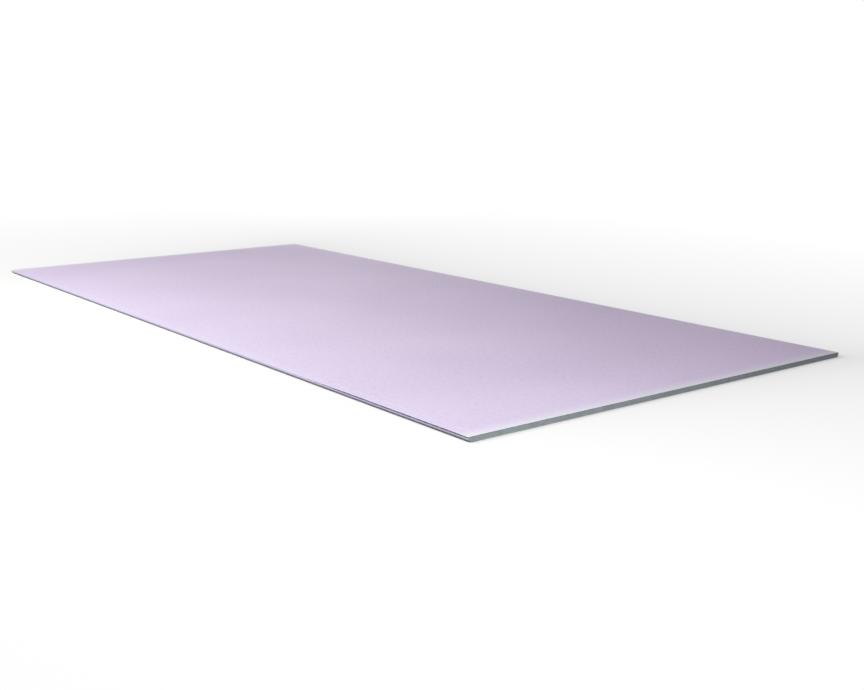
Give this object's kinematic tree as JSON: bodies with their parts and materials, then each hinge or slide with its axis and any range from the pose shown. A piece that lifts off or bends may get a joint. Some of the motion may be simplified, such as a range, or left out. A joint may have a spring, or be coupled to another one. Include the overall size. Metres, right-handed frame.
{
  "type": "drywall sheet",
  "caption": "Flat paper-faced gypsum sheet for lining walls and ceilings, with half-round tapered long edges wrapped in paper and square-cut ends that show the core.",
  "frame": {"origin": "centre of the sheet's face, on the surface that it lies on", "axes": "+X along the length, +Y across the width, +Z out of the back, with the sheet lying face down"},
  "size_m": [2.75, 1.25, 0.0125],
  "materials": {
    "lining_paper": "matte"
  },
  "bodies": {
    "root": {"drywall_sheet": "lining_paper"}
  },
  "joints": []
}
